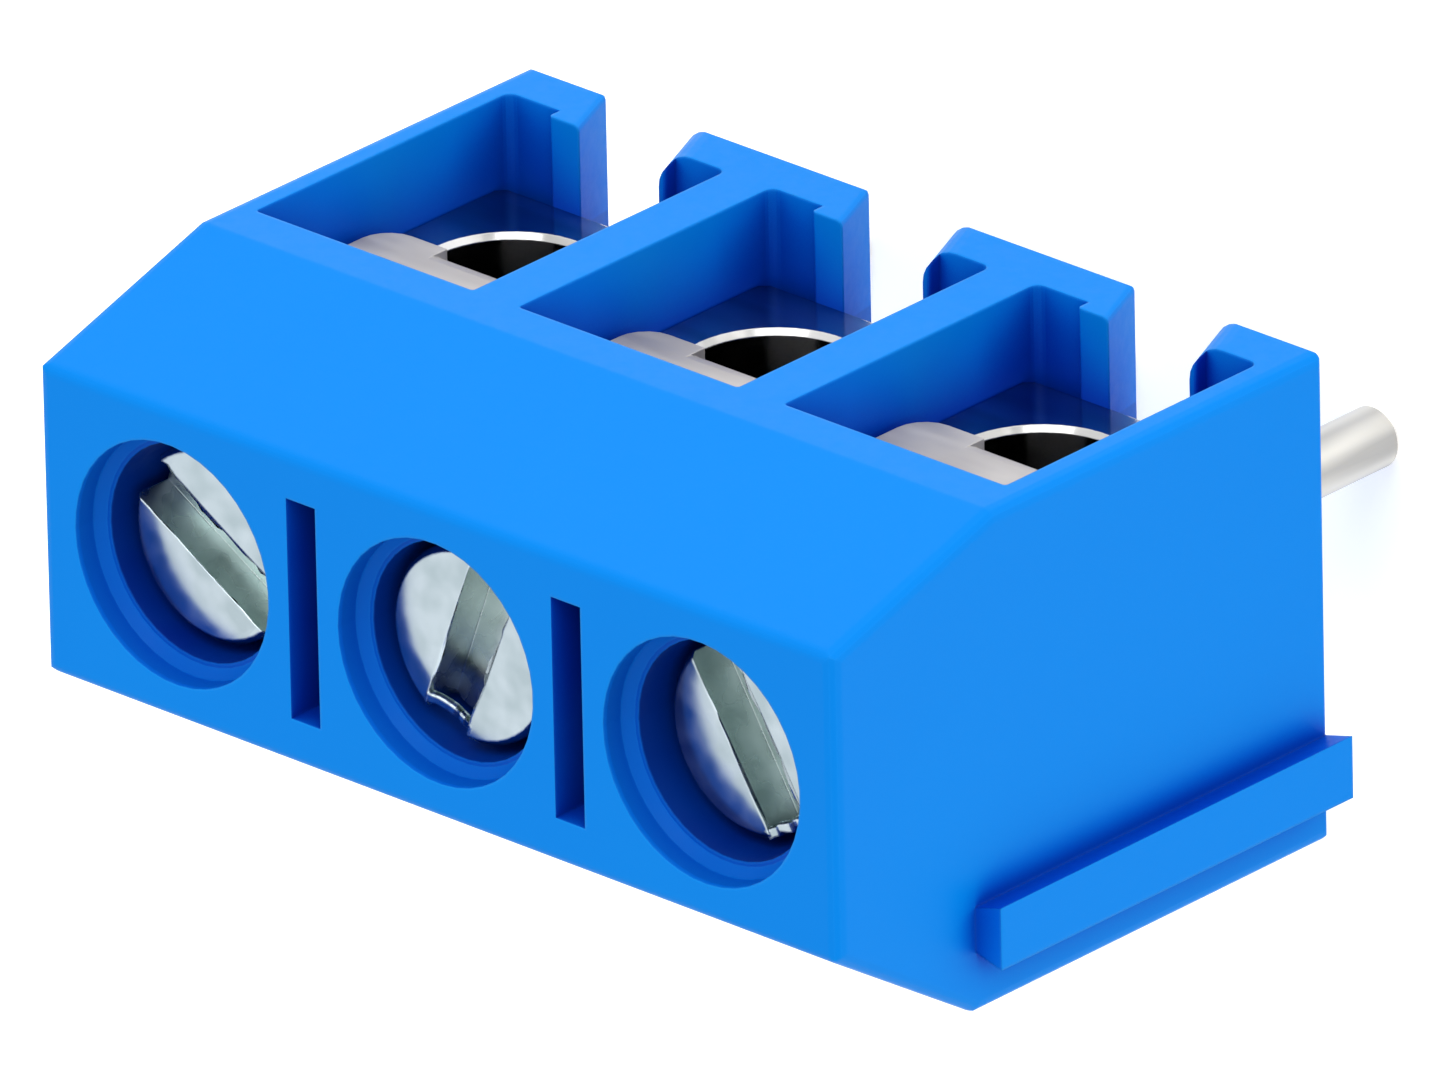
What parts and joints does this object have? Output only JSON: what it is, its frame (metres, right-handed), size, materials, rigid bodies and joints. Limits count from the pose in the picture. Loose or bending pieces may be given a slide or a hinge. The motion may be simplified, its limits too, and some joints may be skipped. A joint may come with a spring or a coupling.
{
  "type": "pcb screw terminal",
  "caption": "Moulded screw terminal for a circuit board: a row of clamped round wire entries in one face, slotted screws on top, solder pins below and an interlocking rail on one end.",
  "frame": {"origin": "where the middle pole's pin and screw axis meets the board seat, on the underside of the housing", "axes": "+X along the row of poles, +Y from the wire face to the back face, +Z from the board up to the screws"},
  "size_m": [0.0155, 0.0075, 0.014],
  "materials": {
    "housing_plastic": "satin moulded polyamide",
    "block_plating": "nickel plated, polished",
    "pin_tin": "tinned, slightly dull",
    "guard_sheet": "plated sheet, dull",
    "screw_zinc": "bright zinc plated"
  },
  "bodies": {
    "terminal": {"housing": "housing_plastic", "contact_block_1": "block_plating", "contact_block_2": "block_plating", "contact_block_3": "block_plating", "solder_pin_1": "pin_tin", "solder_pin_2": "pin_tin", "solder_pin_3": "pin_tin"},
    "guard_1": {"wire_guard_1": "guard_sheet"},
    "screw_1": {"clamp_screw_1": "screw_zinc"},
    "guard_2": {"wire_guard_2": "guard_sheet"},
    "screw_2": {"clamp_screw_2": "screw_zinc"},
    "guard_3": {"wire_guard_3": "guard_sheet"},
    "screw_3": {"clamp_screw_3": "screw_zinc"}
  },
  "joints": [
    {"name": "guard_lift_1", "type": "slide", "parent": "terminal", "child": "guard_1", "axis": [0, 0, 1], "range_m": [-0.00136, 0.00048]},
    {"name": "screw_turn_1", "type": "hinge", "parent": "guard_1", "child": "screw_1", "pos_m": [-0.005, 0, 0.008], "axis": [0, 0, 1], "range_deg": [-1093, 388]},
    {"name": "guard_lift_2", "type": "slide", "parent": "terminal", "child": "guard_2", "axis": [0, 0, 1], "range_m": [-0.00164, 0.0002]},
    {"name": "screw_turn_2", "type": "hinge", "parent": "guard_2", "child": "screw_2", "pos_m": [0, 0, 0.008], "axis": [0, 0, 1], "range_deg": [-1316, 164]},
    {"name": "guard_lift_3", "type": "slide", "parent": "terminal", "child": "guard_3", "axis": [0, 0, 1], "range_m": [-0.00153, 0.00031]},
    {"name": "screw_turn_3", "type": "hinge", "parent": "guard_3", "child": "screw_3", "pos_m": [0.005, 0, 0.008], "axis": [0, 0, 1], "range_deg": [-1228, 252]}
  ],
  "couplings": [
    {"joint": "screw_turn_1", "follows": "guard_lift_1", "rad_per_m": 13963},
    {"joint": "screw_turn_2", "follows": "guard_lift_2", "rad_per_m": 13963},
    {"joint": "screw_turn_3", "follows": "guard_lift_3", "rad_per_m": 13963}
  ]
}
